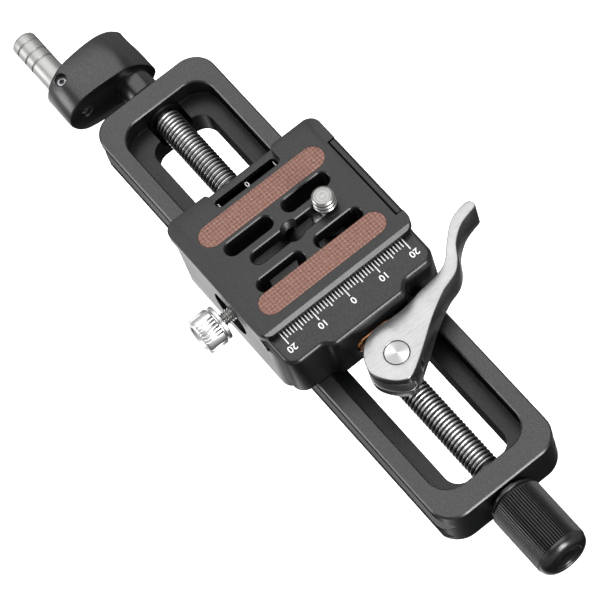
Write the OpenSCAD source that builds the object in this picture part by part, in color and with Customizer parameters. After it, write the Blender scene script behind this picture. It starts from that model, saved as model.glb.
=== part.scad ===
// Macro focusing rail: a screw-driven carriage with a lever-release clamp
// and a 50 mm quick-release plate.
// Frame: origin at the middle of the rail's underside, +X along the rail
// toward the knurled knob, +Y across toward the plate's flip-up bar, +Z up.

/* [Rail] */
// Length of the rail frame
rail_l = 157.6; // [150:0.2:170]
// Width over the dovetail flanges
rail_w = 38; // [38:0.1:38.2]
// Height of the rail frame
rail_h = 14; // [14:0.1:14.2]
// Plan radius of the frame's four corners
rail_r = 7; // [5:0.5:8]
// Width of the upper window
win_w = 28.6; // [28:0.1:29]
// Width of the lower window
low_w = 19; // [18.4:0.1:19.6]
// Height of the ledge between the two windows
ledge_z = 7.7; // [7.2:0.1:8]

/* [Drive] */
// Height of the lead screw's axis
axis_z = 7; // [7:0.1:7]
// Outside diameter of the lead screw
screw_d = 8; // [8:0.1:8]
// Diameter of the screw's end journals
journal_d = 6; // [5.6:0.1:6]
// Diameter of the drive knob
knob_d = 15; // [12:0.5:15]
// Length of the drive knob
knob_l = 21.5; // [18:0.5:22]
// Distance from the screw's axis to the handle's axis
crank_r = 15.6; // [14.6:0.2:16]
// Angle of the crank arm above the horizontal
crank_a = 9.3; // [0:0.1:20]
// Thickness of the crank arm at its hub, along the rail
crank_t = 14.6; // [14.4:0.1:14.8]
// Length of the crank's handle
handle_l = 19.4; // [16:0.2:26]
// Diameter of the crank's handle
handle_d = 7.5; // [7:0.1:8]

/* [Carriage] */
// Width of the carriage
car_w = 48; // [47:0.5:48]
// Rear end of the carriage body along X
car_x0 = -30.1; // [-30.3:0.1:-29.9]
// Front end of the carriage body along X
car_x1 = 16.6; // [16.2:0.1:16.8]
// Height of the clamp's floor
floor_z = 24.5; // [24.5:0.1:24.5]
// Height of the jaws' tops
jaw_z = 31; // [31:0.1:31]
// Gap between the carriage and the rail
slide_gap = 0.3; // [0.2:0.05:0.4]

/* [Clamp] */
// Front of the jaw's two lobes along X
lobe_x = 24.3; // [24:0.1:24.6]
// Front of the jaw's middle along X
nose_x = 26.6; // [26.2:0.1:26.8]
// Lever pin along X
pin_x = 36.7; // [36.7:0.1:36.7]
// Lever pin diameter
pin_d = 6.7; // [6:0.1:6.8]
// Bottom of the lever
lever_z0 = 16; // [15.8:0.1:16.2]
// Thickness of the lever
lever_t = 10; // [9.5:0.1:10]

/* [Plate] */
// Length of the plate along Y
plate_l = 50; // [50:0.5:50]
// Rear edge of the plate along X
plate_x0 = -29.3; // [-29.4:0.1:-29]
// Front edge of the plate along X
plate_x1 = 14.8; // [14.6:0.1:14.9]
// Underside of the plate's slab
slab_z = 31.2; // [31.2:0.1:31.2]
// Top of the plate
plate_z = 34.2; // [34.2:0.1:34.4]
// Width of the plate's slots
slot_w = 4.3; // [4.2:0.1:4.4]
// Camera screw's place along the middle slot
cam_y = 11; // [0:0.5:11]
// Height of the camera screw above the plate
cam_h = 5.3; // [4.8:0.1:5.6]

/* [Hidden] */
eps = 0.01;
half = 78.4;                    // rail, the end toward the knob
rail_x0 = half - rail_l;        // rail, the end toward the crank
win_x0 = rail_x0 + 6.9;
win_x1 = half - 7.1;
low_x0 = -66.3;
low_x1 = 68.9;
dove_x = -5.5;                  // middle of the plate's dovetail
mid_x = -5.2;                   // middle row of slots
rod_z = lever_z0 + lever_t / 2; // tension rod's axis
arm_x1 = -86.9;                 // crank arm, the face toward the rail
arm_x0 = arm_x1 - crank_t;      // crank arm, the outer face at the hub
seat_x = -98.2;                 // floor of the pocket the handle turns in
set_x = -96.4;                  // set screw that holds the handle's axle
knob_x0 = 80.6;
knob_x1 = knob_x0 + knob_l;
lock_x = -6.1;
lock_z = 17;
black = [0.13, 0.13, 0.14];
steel = [0.75, 0.75, 0.76];

// ---------- helpers ----------
// rounded rectangle between two corners
module rrect(x0, y0, x1, y1, r) {
  translate([x0 + r, y0]) square([x1 - x0 - 2 * r, y1 - y0]);
  translate([x0, y0 + r]) square([x1 - x0, y1 - y0 - 2 * r]);
  for (x = [x0 + r, x1 - r], y = [y0 + r, y1 - r])
    translate([x, y]) circle(r = r, $fn = 64);
}
module rbox(x0, y0, z0, x1, y1, z1, r)
  translate([0, 0, z0]) linear_extrude(z1 - z0) rrect(x0, y0, x1, y1, r);
module box(x0, y0, z0, x1, y1, z1)
  translate([x0, y0, z0]) cube([x1 - x0, y1 - y0, z1 - z0]);
// cylinder along X between two stations
module xcyl(x0, x1, d, y = 0, z = axis_z)
  translate([x0, y, z]) rotate([0, 90, 0]) cylinder(h = x1 - x0, d = d, $fn = 64);
// cone frustum along X
module xcone(x0, x1, d0, d1, y = 0, z = axis_z)
  translate([x0, y, z]) rotate([0, 90, 0])
    cylinder(h = x1 - x0, d1 = d0, d2 = d1, $fn = 64);
// cylinder along Y
module ycyl(y0, y1, d, x, z)
  translate([x, y1, z]) rotate([90, 0, 0]) cylinder(h = y1 - y0, d = d, $fn = 64);
module ycone(y0, y1, d0, d1, x, z)
  translate([x, y1, z]) rotate([90, 0, 0])
    cylinder(h = y1 - y0, d1 = d1, d2 = d0, $fn = 64);
module zcyl(z0, z1, d, x, y)
  translate([x, y, z0]) cylinder(h = z1 - z0, d = d, $fn = 64);
// profile in (y, z), extruded along X
module xprofile(x0, x1)
  translate([x0, 0, 0]) rotate([90, 0, 90]) linear_extrude(x1 - x0) children();
// profile in (x, z), extruded along Y
module yprofile(y0, y1)
  translate([0, y1, 0]) rotate([90, 0, 0]) linear_extrude(y1 - y0) children();
// slot along Y, cut through z0..z1
module yslot(x, y0, y1, w, z0, z1)
  translate([0, 0, z0]) linear_extrude(z1 - z0) {
    translate([x - w / 2, y0 + w / 2]) square([w, y1 - y0 - w]);
    for (y = [y0 + w / 2, y1 - w / 2]) translate([x, y]) circle(d = w, $fn = 48);
  }
function mirror_y(p) = concat(p, [for (i = [len(p) - 1:-1:0]) [-p[i][0], p[i][1]]]);
// Catmull-Rom curve through a closed list of points
function cr(a, b, c, d, t) = 0.5 * (2 * b + (c - a) * t
  + (2 * a - 5 * b + 4 * c - d) * t * t + (3 * b - a - 3 * c + d) * t * t * t);
function smooth(p, n) = [for (i = [0:len(p) - 1], k = [0:n - 1])
  cr(p[(i + len(p) - 1) % len(p)], p[i], p[(i + 1) % len(p)],
     p[(i + 2) % len(p)], k / n)];

// ---------- rail ----------
// half profile of the frame: top flange, carriage groove, middle ridge,
// tripod groove, bottom flange
function rail_half() = [[rail_w / 2 - 0.7, 0], [rail_w / 2 - 0.3, 0.4],
  [rail_w / 2 - 0.3, 1.2], [rail_w / 2 - 2, 2.1], [rail_w / 2 - 2, 2.6],
  [rail_w / 2, 4.3], [rail_w / 2, 5.4], [rail_w / 2 - 2.8, 8.2],
  [rail_w / 2 - 2.8, 8.8], [rail_w / 2, 11.6], [rail_w / 2, rail_h - 0.4],
  [rail_w / 2 - 0.4, rail_h]];

module rail_frame() color(black) difference() {
  intersection() {
    xprofile(rail_x0, half) polygon(mirror_y(rail_half()));
    rbox(rail_x0, -rail_w / 2, 0, half, rail_w / 2, rail_h, rail_r);
  }
  rbox(win_x0, -win_w / 2, ledge_z, win_x1, win_w / 2, rail_h + 1, 6.5);
  rbox(low_x0, -low_w / 2, -1, low_x1, low_w / 2, rail_h, 4.5);
  // bores for the bushings, and the troughs past their flanges
  xcyl(rail_x0 - 1, half + 1, 9);
  xcyl(win_x0, low_x0 + 1, 10.8);
  xcyl(low_x1 - 1, win_x1, 10.8);
}

module bushing(x0, x1, xf) color(black) difference() {
  union() {
    xcyl(x0, x1, 9);
    xcyl(min(xf, xf + 0.9), max(xf, xf + 0.9), 10.2);
  }
  xcyl(x0 - 2, x1 + 2, journal_d + 0.06);
}
module rear_bushing() bushing(rail_x0 + 0.3, win_x0 + 0.1, win_x0);
module front_bushing() bushing(win_x1 - 0.1, half - 0.3, win_x1 - 0.9);

// ---------- drive line, turns with the screw ----------
module lead_screw() color(steel) {
  xcyl(win_x0 + 2.1, win_x1 - 2.1, screw_d);
  xcone(win_x0 + 1.2, win_x0 + 2.1, screw_d - 1.8, screw_d);
  xcone(win_x1 - 2.1, win_x1 - 1.2, screw_d, screw_d - 1.8);
  xcyl(arm_x0 + 5, win_x0 + 1.5, journal_d);
  difference() {
    xcyl(win_x1 - 1.5, knob_x1 - 6, journal_d);
    xcyl(knob_x1 - 15, knob_x1, 3);
  }
}
module knob_collar() color(black) difference() {
  union() {
    xcyl(half + 0.3, half + 1.1, 11.4);
    xcyl(half + 1, knob_x0 - 0.2, 13.4);
  }
  xcyl(half, knob_x0 + 1, journal_d + 0.04);
}
module drive_knob() color(black) difference() {
  union() {
    xcone(knob_x0, knob_x0 + 0.6, knob_d - 1.2, knob_d);
    xcyl(knob_x0 + 0.6, knob_x1 - 1.6, knob_d);
    xcone(knob_x1 - 1.6, knob_x1, knob_d, knob_d - 3.4);
  }
  xcyl(knob_x0 - 1, knob_x1 - 5.5, journal_d + 0.04);
  xcyl(knob_x0 + 1, knob_x1 - 3, 3.4);
  xcyl(knob_x1 - 4.6, knob_x1 + 1, 7);
}
module knob_screw() color(steel) difference() {
  union() {
    xcyl(knob_x1 - 14.6, knob_x1 - 4.6, 3);
    xcyl(knob_x1 - 4.6, knob_x1 - 2.2, 5.5);
  }
  xcyl(knob_x1 - 3.9, knob_x1, 2.5);
}
module knob_end_cap() color(black) difference() {
  xcyl(knob_x1 - 1.9, knob_x1 - 0.3, 6.98);
  translate([knob_x1 + 7.2, 0, axis_z]) sphere(r = 8, $fn = 64);
}

// the arm stands in its own plane, turned about the screw's axis
module crank_place() translate([0, 0, axis_z]) rotate([-crank_a, 0, 0]) children();
// outline of the arm in (y, z), through points read along its edges
function arm_curve() = smooth([[7.9, -1.6], [7.2, 1.2], [5.9, 3.4], [4.1, 5.3],
  [2.1, 6.8], [-0.3, 7.8], [-3.2, 8.3], [-7, 8.3], [-10.7, 8.05], [-13.8, 7.55],
  [-17.1, 6.15], [-19.7, 3.6], [-20.95, 0.4], [-20.9, -2.2], [-19.9, -4.3],
  [-18.4, -6.2], [-16, -7.75], [-12.2, -8.35], [-8, -8.35], [-4, -8.2],
  [0, -7.9], [3.4, -6.9], [6.2, -4.7]], 3);
// plan of the arm: it thins toward the handle, and its hub is relieved on one side
function arm_plan() = [[arm_x1, -24], [arm_x1, 12], [-91.4, 12], [-91.5, 7.9],
  [-93, 7.5], [-94.6, 6.95], [-96.2, 6.4], [-97.6, 6.15], [-99.4, 6.1],
  [arm_x0, 6.2], [arm_x0, 3], [arm_x0 + 0.3, -2], [arm_x0 + 0.7, -6],
  [arm_x0 + 1.2, -9.8], [arm_x0 + 1.7, -13.4], [arm_x0 + 2.3, -16.5],
  [arm_x0 + 3, -19.3], [arm_x0 + 3.7, -21.5], [arm_x0 + 4.4, -24]];
// everything that stands on the handle's axis
module on_handle_axis() translate([0, -crank_r, 0]) children();
module crank_arm() color(black) crank_place() difference() {
  union() {
    intersection() {
      xprofile(arm_x0 - 1, arm_x1) polygon(arm_curve());
      translate([0, 0, -10]) linear_extrude(20) polygon(arm_plan());
    }
    xcyl(arm_x1 - 0.1, rail_x0 - 1.6, 10.2, 0, 0);
    xcone(rail_x0 - 1.6, rail_x0 - 0.6, 10.2, 8.6, 0, 0);
  }
  xcyl(arm_x0 + 4.8, rail_x0, journal_d + 0.04, 0, 0);
  on_handle_axis() {
    xcyl(arm_x0 - 1, arm_x1 + 1, 3.64, 0, 0);
    // pocket that the handle's end turns in
    xcyl(arm_x0 - 1, seat_x, 8, 0, 0);
    // hole for the axle's set screw
    rotate([12.6, 0, 0]) {
      translate([set_x, 0, 0]) cylinder(h = 9, d = 3, $fn = 32);
      translate([set_x, 0, 5]) cylinder(h = 9, d = 3.6, $fn = 32);
    }
  }
  // hole for the hub's set screw, underneath
  translate([-93.2, 0, -9]) cylinder(h = 9, d = 3, $fn = 32);
}
module set_screw(h) difference() {
  cylinder(h = h, d = 2.98, $fn = 32);
  translate([0, 0, h - 1.4]) cylinder(h = 2, d = 1.7, $fn = 6);
}
module crank_set_screws() color(steel) crank_place() {
  on_handle_axis() rotate([12.6, 0, 0]) translate([set_x, 0, 1.85]) set_screw(3.2);
  translate([-93.2, 0, -3.05]) mirror([0, 0, 1]) set_screw(3.6);
}
// shouldered axle of the handle: socket end toward the rail, head outward
module handle_axle() color(steel) crank_place() on_handle_axis() difference() {
  union() {
    xcyl(seat_x - 0.2 - handle_l + 3, arm_x1 - 0.9, 3.6, 0, 0);
    xcyl(seat_x - 0.2 - handle_l + 1.8, seat_x - 0.2 - handle_l + 3.05, 5.4, 0, 0);
  }
  translate([arm_x1 - 2.6, 0, 0]) rotate([0, 90, 0]) cylinder(h = 3, d = 2.3, $fn = 6);
}
module crank_handle() color(steel) crank_place() on_handle_axis() difference() {
  h1 = seat_x - 0.2;
  h0 = h1 - handle_l;
  union() {
    xcyl(h0 + 0.6, h1, handle_d, 0, 0);
    xcone(h0, h0 + 0.6, handle_d - 1.2, handle_d, 0, 0);
  }
  xcyl(h0 + 1, h1 + 1, 3.72, 0, 0);
  xcyl(h0 - 1, h0 + 3.3, 5.8, 0, 0);
  // three finger grooves
  for (x = [3.2, 6.9, 10.1])
    translate([h0 + x, 0, 0]) rotate([0, 90, 0])
      rotate_extrude($fn = 64) translate([handle_d / 2, 0]) circle(d = 0.7, $fn = 16);
}
module handle_cap() color(steel) crank_place() on_handle_axis()
  xcyl(seat_x - 0.2 - handle_l, seat_x - 0.2 - handle_l + 1.2, 5.78, 0, 0);

// ---------- carriage ----------
lip_y = rail_w / 2 - 2.5;
wall_y = rail_w / 2 + slide_gap + 0.05;
function car_half() = [[lip_y, 8.35], [wall_y, 5.5], [car_w / 2 - 0.6, 5.5],
  [car_w / 2, 6.1], [car_w / 2, floor_z], [0, floor_z], [0, rail_h + slide_gap],
  [wall_y, rail_h + slide_gap], [wall_y, 11.5], [lip_y, 8.65]];
// rear jaw in (x, z): its lip hooks over the plate's dovetail
function rear_jaw() = [[car_x0, floor_z - 1], [car_x0, jaw_z],
  [dove_x - 16.05, jaw_z], [dove_x - 16.05, 30.1], [dove_x - 19.2, 26.95],
  [dove_x - 19.2, floor_z - 1]];

module carriage_body() color(black) difference() {
  union() {
    intersection() {
      union() {
        xprofile(car_x0, car_x1) {
          polygon(car_half());
          mirror([1, 0]) polygon(car_half());
        }
        yprofile(-car_w / 2, car_w / 2) polygon(rear_jaw());
      }
      rbox(car_x0, -car_w / 2, 0, car_x1 + 6, car_w / 2, 40, 3.5);
    }
    // key that runs in the rail's upper window and carries the nut
    rbox(-25, -13.6, 12.5, 14, 13.6, rail_h + 1, 4);
  }
  // tension rod, with the pocket for its nut at the rear
  xcyl(car_x0 - 1, car_x1 + 1, 5.3, 0, rod_z);
  translate([car_x0 - 1, 0, rod_z]) rotate([0, 90, 0])
    cylinder(h = 5, d = 8.8, $fn = 64);
  // guide pins and their springs
  for (y = [-16, 16]) {
    xcyl(-4, car_x1 + 1, 4.08, y, 19.6);
    xcyl(10.4, car_x1 + 1, 7, y, 19.6);
  }
  // pocket with the index marks, seen through the plate's notch
  rbox(-27.8, -10.2, 29.9, -15, 10.2, jaw_z + 1, 1.5);
  // nut screws, heads below the floor
  for (x = [-11.5, 1.5], y = [-6.5, 6.5]) {
    zcyl(12, floor_z + 1, 3.2, x, y);
    zcyl(16, floor_z + 1, 5.8, x, y);
  }
  // lock screw and the round recess around it
  ycyl(-car_w / 2 - 1, -21, 4.04, lock_x, lock_z);
  ycyl(-car_w / 2 - 1, -car_w / 2 + 1.6, 13.4, lock_x, lock_z);
  // pocket for the shoe, open toward the rail's flank
  box(lock_x - 2.55, -21.3, 11.8, lock_x + 2.55, -18.9, 19.05);
}
module drive_nut() color("darkgoldenrod") difference() {
  rbox(-14, -8.8, 1.2, 4, 8.8, 12.5, 1);
  xcyl(-15, 5, screw_d + 0.08);
  for (x = [-11.5, 1.5], y = [-6.5, 6.5]) zcyl(8.5, 13, 3.02, x, y);
}
module nut_screws() color(steel)
  for (x = [-11.5, 1.5], y = [-6.5, 6.5]) difference() {
    union() {
      zcyl(9, 16.2, 3, x, y);
      zcyl(16, 19, 5.5, x, y);
    }
    zcyl(17.6, 20, 2.5, x, y);
  }
module lock_thumbscrew() color(steel) {
  ycyl(-27.2, -20.7, 4, lock_x, lock_z);
  ycyl(-28.3, -27.1, 10.3, lock_x, lock_z);
  ycyl(-28.8, -28.2, 8.6, lock_x, lock_z);
  ycyl(-34, -28.7, 10.8, lock_x, lock_z);
  ycone(-34.6, -34, 9.6, 10.8, lock_x, lock_z);
}
// the screw pushes the shoe's upper half, its lower half bears on the rail
module lock_shoe() color("darkgoldenrod")
  box(lock_x - 2.5, -20.65, 11.9, lock_x + 2.5, -wall_y, 19);

// ---------- clamp ----------
// plan of the jaw: two lobes and a middle that stands forward
module jaw_plan(back) {
  h = car_w / 2 - 0.1;
  rrect(back, -h, lobe_x, h, 3.4);
  translate([back, -h]) square([8, 2 * h]);
  rrect(back + 2, -11.6, nose_x, 11.6, 2.2);
  // fillets in the two steps
  for (s = [-1, 1]) difference() {
    translate([lobe_x - 0.5, s > 0 ? 11.5 : -13.4]) square([1.9, 1.9]);
    translate([lobe_x + 1.4, s * 13.4]) circle(r = 1.8, $fn = 48);
  }
}
function jaw_side() = [[dove_x + 16.05, jaw_z], [dove_x + 16.05, 30.1],
  [dove_x + 19.2, 26.95], [dove_x + 19.2, floor_z + 0.3],
  [car_x1 + 0.3, floor_z + 0.3], [car_x1 + 0.3, 14.4], [40, 14.4], [40, jaw_z]];
module movable_jaw() color(black) difference() {
  intersection() {
    yprofile(-30, 30) polygon(jaw_side());
    translate([0, 0, 14.4]) linear_extrude(jaw_z - 14.4) jaw_plan(dove_x + 16.05);
  }
  xcyl(10, 40, 5.8, 0, rod_z);
  for (y = [-16, 16]) xcyl(car_x1 - 1, lobe_x - 1.5, 4, y, 19.6);
  // recess that holds the cam pad
  translate([0, 0, rod_z]) xprofile(nose_x - 1.2, nose_x + 2) rrect(-6.04, -2.94, 6.04, 2.94, 2.6);
}
module jaw_guide_pins() color(steel)
  for (y = [-16, 16]) xcyl(2, lobe_x - 1.6, 4, y, 19.6);
module jaw_springs() color(steel)
  for (y = [-16, 16]) difference() {
    xcyl(10.6, car_x1, 6.6, y, 19.6);
    xcyl(10, car_x1 + 1, 4.7, y, 19.6);
  }
module cam_pad() color("peru") difference() {
  translate([0, 0, rod_z]) xprofile(nose_x - 1.2, nose_x + 0.6) rrect(-6, -2.9, 6, 2.9, 2.6);
  xcyl(20, 40, 5.8, 0, rod_z);
}
module tension_rod() color(steel) difference() {
  union() {
    xcyl(car_x0 + 0.4, 26.6, 5, 0, rod_z);
    // flattened toward the eye, to pass between the fork's cheeks
    intersection() {
      box(26.5, -2.5, rod_z - 2, pin_x - 4, 2.5, rod_z + 2);
      xcyl(26, pin_x, 5.7, 0, rod_z);
    }
    zcyl(rod_z - 2, rod_z + 2, 11.4, pin_x, 0);
  }
  zcyl(rod_z - 3, rod_z + 3, pin_d + 0.1, pin_x, 0);
}
module rod_nut() color(steel) difference() {
  translate([car_x0 + 0.6, 0, rod_z]) rotate([0, 90, 0])
    cylinder(h = 3.2, d = 8.2, $fn = 6);
  xcyl(car_x0, car_x0 + 5, 5, 0, rod_z);
}
// outline of the lever in (x, y), through points read along its edge
function lever_curve() = smooth([[15.1, 41], [17.2, 41.5], [18, 38.8],
  [19.3, 35], [22.4, 31], [26.6, 28.2], [29.2, 25.2], [31, 20], [35, 13],
  [39.6, 6.6], [44.2, -0.6], [43.6, -4], [40.4, -7], [36.6, -8.5], [32.4, -7.5],
  [29, -4.6], [27.5, -0.6], [27.8, 4], [27.9, 9], [26.9, 15], [26.2, 21],
  [24.6, 25.2], [20.4, 29.3], [16.4, 33.8], [14.9, 38.2]], 4);
module clamp_lever() color(steel) difference() {
  translate([0, 0, lever_z0]) linear_extrude(lever_t) polygon(lever_curve());
  zcyl(lever_z0 - 1, lever_z0 + lever_t + 1, pin_d + 0.02, pin_x, 0);
  // slot of the fork, open toward the rod over the lever's whole swing
  zcyl(rod_z - 2.15, rod_z + 2.15, 12.4, pin_x, 0);
  box(20, -12, rod_z - 2.15, pin_x, 3.4, rod_z + 2.15);
  box(pin_x - 1, -12, rod_z - 2.15, 50, -0.4, rod_z + 2.15);
}
module lever_pin() color(steel)
  zcyl(lever_z0 + 0.2, lever_z0 + lever_t - 0.1, pin_d, pin_x, 0);

// ---------- plate ----------
function dovetail() = [[dove_x - 19, 24.8], [dove_x + 19, 24.8],
  [dove_x + 19, 26.8], [dove_x + 15.8, 30], [dove_x + 15.8, slab_z + 0.1],
  [dove_x - 15.8, slab_z + 0.1], [dove_x - 15.8, 30], [dove_x - 19, 26.8]];
module plate_body() color(black) difference() {
  union() {
    rbox(plate_x0, -plate_l / 2, slab_z, plate_x1, plate_l / 2, plate_z, 3.4);
    yprofile(-plate_l / 2 + 0.5, plate_l / 2 - 0.5) polygon(dovetail());
  }
  // bevel along the front edge
  translate([plate_x1, 0, plate_z]) rotate([0, 45, 0])
    cube([1.5, plate_l + 2, 1.5], center = true);
  // notch over the rear jaw's index marks, its mouth rounded
  rbox(plate_x0 - 5, -10.4, 20, -23.55, 10.4, plate_z + 1, 1.5);
  for (s = [-1, 1]) difference() {
    box(plate_x0 - 1, min(s * 10.3, s * 11.5), 20, plate_x0 + 1.1, max(s * 10.3, s * 11.5), 40);
    zcyl(19, 41, 2.2, plate_x0 + 1.1, s * 11.5);
  }
  // slots, and the tapped hole that the camera screw enters by
  for (x = [-11.9, 2.2]) {
    yslot(x, -16.8, -2, slot_w, 20, 40);
    yslot(x, 2, 16.8, slot_w, 20, 40);
  }
  yslot(mid_x, -13.2, 13.2, slot_w, 20, 40);
  zcyl(20, 40, 6.7, mid_x, 0);
  // channel in the underside for the camera screw's head
  yslot(mid_x, -17, 17, 10.6, 20, 30);
  // pockets for the friction strips
  for (x = [-18.65, 7.6]) yslot(x, -20.2, 20.2, 6.9, plate_z - 0.5, plate_z + 1);
  // pocket for the flip-up bar
  box(-19.7, 22.6, 20, 9.7, 30, 40);
  xcyl(-21.7, 11.7, 1.04, 23.95, 33);
}
module strip(x) color([0.55, 0.36, 0.3])
  yslot(x, -20.15, 20.15, 6.8, plate_z - 0.5, plate_z + 0.25);
module rear_friction_strip() strip(-18.65);
module front_friction_strip() strip(7.6);
// quarter-inch camera screw, its head captive under the plate
module camera_screw() color(steel) difference() {
  union() {
    zcyl(plate_z + 0.6, plate_z + cam_h - 0.5, 6.35, mid_x, cam_y);
    translate([mid_x, cam_y, plate_z + cam_h - 0.5])
      cylinder(h = 0.5, d1 = 6.35, d2 = 5.35, $fn = 64);
    zcyl(28, plate_z + 1, 3.9, mid_x, cam_y);
    zcyl(25.3, 29.2, 9.6, mid_x, cam_y);
  }
  translate([mid_x, cam_y, 25]) cylinder(h = 2.6, d = 4.6, $fn = 6);
}
module screw_washer() color(steel) difference() {
  zcyl(29.25, 29.95, 8.6, mid_x, cam_y);
  zcyl(29, 31, 4, mid_x, cam_y);
}
// bar that lies flush in the edge and flips up beside a camera body
module anti_twist_bar() color(black) difference() {
  union() {
    xcyl(-19.4, 9.4, 2.1, 23.95, 33);
    box(-19.4, 22.9, 25.4, 9.4, 25, 33);
  }
  xcyl(-20, 10, 1.04, 23.95, 33);
}
module bar_hinge_pins() color(steel)
  xcyl(-21.6, 11.6, 1, 23.95, 33);

rail_frame();
rear_bushing();
front_bushing();
lead_screw();
knob_collar();
drive_knob();
knob_screw();
knob_end_cap();
crank_arm();
crank_set_screws();
handle_axle();
crank_handle();
handle_cap();
carriage_body();
drive_nut();
nut_screws();
lock_thumbscrew();
lock_shoe();
movable_jaw();
jaw_guide_pins();
jaw_springs();
cam_pad();
tension_rod();
rod_nut();
clamp_lever();
lever_pin();
plate_body();
rear_friction_strip();
front_friction_strip();
camera_screw();
screw_washer();
anti_twist_bar();
bar_hinge_pins();
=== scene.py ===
import math
import random

import bmesh
import bpy
import numpy as np
from mathutils import Matrix, Vector
from mathutils.geometry import tessellate_polygon


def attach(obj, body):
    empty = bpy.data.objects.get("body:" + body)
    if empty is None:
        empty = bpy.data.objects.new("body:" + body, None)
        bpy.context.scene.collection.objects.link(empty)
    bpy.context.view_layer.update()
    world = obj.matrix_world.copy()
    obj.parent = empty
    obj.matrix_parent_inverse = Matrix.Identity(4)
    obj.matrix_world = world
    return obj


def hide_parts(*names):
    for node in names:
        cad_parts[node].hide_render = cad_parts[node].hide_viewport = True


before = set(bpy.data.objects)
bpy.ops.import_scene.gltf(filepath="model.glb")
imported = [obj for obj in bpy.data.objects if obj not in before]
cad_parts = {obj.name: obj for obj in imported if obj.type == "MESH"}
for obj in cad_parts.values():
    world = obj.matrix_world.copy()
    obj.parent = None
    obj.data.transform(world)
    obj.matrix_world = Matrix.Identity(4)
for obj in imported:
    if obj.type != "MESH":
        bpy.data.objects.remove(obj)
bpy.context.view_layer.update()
random.seed(7)
# Everything below is built in millimetres in the part's own frame, and scaled to metres when it is placed.

# ------------------------------------------------------------------ meshes


def link(o):
    bpy.context.scene.collection.objects.link(o)
    return o


def make(name, verts, faces, merge=1e-4):
    me = bpy.data.meshes.new(name)
    me.from_pydata([tuple(map(float, v)) for v in verts], [], [tuple(f) for f in faces])
    me.update()
    bm = bmesh.new()
    bm.from_mesh(me)
    bmesh.ops.remove_doubles(bm, verts=bm.verts, dist=merge)
    bmesh.ops.dissolve_degenerate(bm, edges=bm.edges, dist=merge)
    bmesh.ops.recalc_face_normals(bm, faces=bm.faces)
    bm.to_mesh(me)
    bm.free()
    return link(bpy.data.objects.new(name, me))


def XY(u, v, h):
    return (u, v, h)


def ALONG_X(u, v, h):  # profile in (y, z)
    return (h, u, v)


def ALONG_Y(u, v, h):  # profile in (x, z)
    return (u, h, v)


def arc(cx, cy, r, a0, a1, n):
    return [
        (
            cx + r * math.cos(math.radians(a0 + (a1 - a0) * i / n)),
            cy + r * math.sin(math.radians(a0 + (a1 - a0) * i / n)),
        )
        for i in range(n + 1)
    ]


def circle(cx, cy, r, n=64):
    return arc(cx, cy, r, 0, 360, n)[:-1]


def rrect(x0, y0, x1, y1, r, n=12):
    r = min(r, (x1 - x0) / 2 - 1e-4, (y1 - y0) / 2 - 1e-4)
    return (
        arc(x1 - r, y1 - r, r, 0, 90, n)
        + arc(x0 + r, y1 - r, r, 90, 180, n)
        + arc(x0 + r, y0 + r, r, 180, 270, n)
        + arc(x1 - r, y0 + r, r, 270, 360, n)
    )


def signed_area(p):
    return 0.5 * sum(
        p[i][0] * p[(i + 1) % len(p)][1] - p[(i + 1) % len(p)][0] * p[i][1]
        for i in range(len(p))
    )


def clean(p):
    out = []
    for q in p:
        if not out or math.dist(q, out[-1]) > 1e-3:
            out.append(q)
    if math.dist(out[0], out[-1]) < 1e-3:
        out.pop()
    return out


def smooth(p, n=6):
    """Closed Catmull-Rom curve through the points."""
    out, m = [], len(p)
    for i in range(m):
        a, b, c, d = (np.array(p[(i + k) % m], float) for k in (-1, 0, 1, 2))
        for k in range(n):
            t = k / n
            out.append(
                tuple(
                    0.5
                    * (
                        2 * b
                        + (c - a) * t
                        + (2 * a - 5 * b + 4 * c - d) * t * t
                        + (3 * b - a - 3 * c + d) * t**3
                    )
                )
            )
    return out


def fillet(points, radii, n=8):
    """Polygon with each corner rounded by its own radius."""
    out, m = [], len(points)
    for i in range(m):
        p, a, b = (
            np.array(points[k % m], float) for k in (i, i - 1 if i else m - 1, i + 1)
        )
        r = radii[i] if hasattr(radii, "__len__") else radii
        if r <= 0:
            out.append(tuple(p))
            continue
        da, db = (a - p) / np.linalg.norm(a - p), (b - p) / np.linalg.norm(b - p)
        half = math.acos(max(-1, min(1, float(da @ db)))) / 2
        if half > math.pi / 2 - 1e-3:
            out.append(tuple(p))
            continue
        t = min(
            r / math.tan(half),
            0.49 * np.linalg.norm(a - p),
            0.49 * np.linalg.norm(b - p),
        )
        r = t * math.tan(half)
        c = p + (da + db) / np.linalg.norm(da + db) * (r / math.sin(half))
        s, e = p + da * t - c, p + db * t - c
        a0, a1 = math.atan2(s[1], s[0]), math.atan2(e[1], e[0])
        while a1 - a0 > math.pi:
            a1 -= 2 * math.pi
        while a1 - a0 < -math.pi:
            a1 += 2 * math.pi
        for k in range(n + 1):
            g = a0 + (a1 - a0) * k / n
            out.append((c[0] + r * math.cos(g), c[1] + r * math.sin(g)))
    return out


def inset(loop, d):
    """Moves each edge of the loop to its left by d."""
    if abs(d) < 1e-9:
        return list(loop)
    out, m = [], len(loop)
    for i in range(m):
        a, p, b = (np.array(loop[k], float) for k in (i - 1, i, (i + 1) % m))
        e1, e2 = p - a, b - p
        e1, e2 = e1 / np.linalg.norm(e1), e2 / np.linalg.norm(e2)
        n1, n2 = np.array([-e1[1], e1[0]]), np.array([-e2[1], e2[0]])
        out.append(tuple(p + (n1 + n2) * d / max(0.25, 1 + float(n1 @ n2))))
    return out


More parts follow.
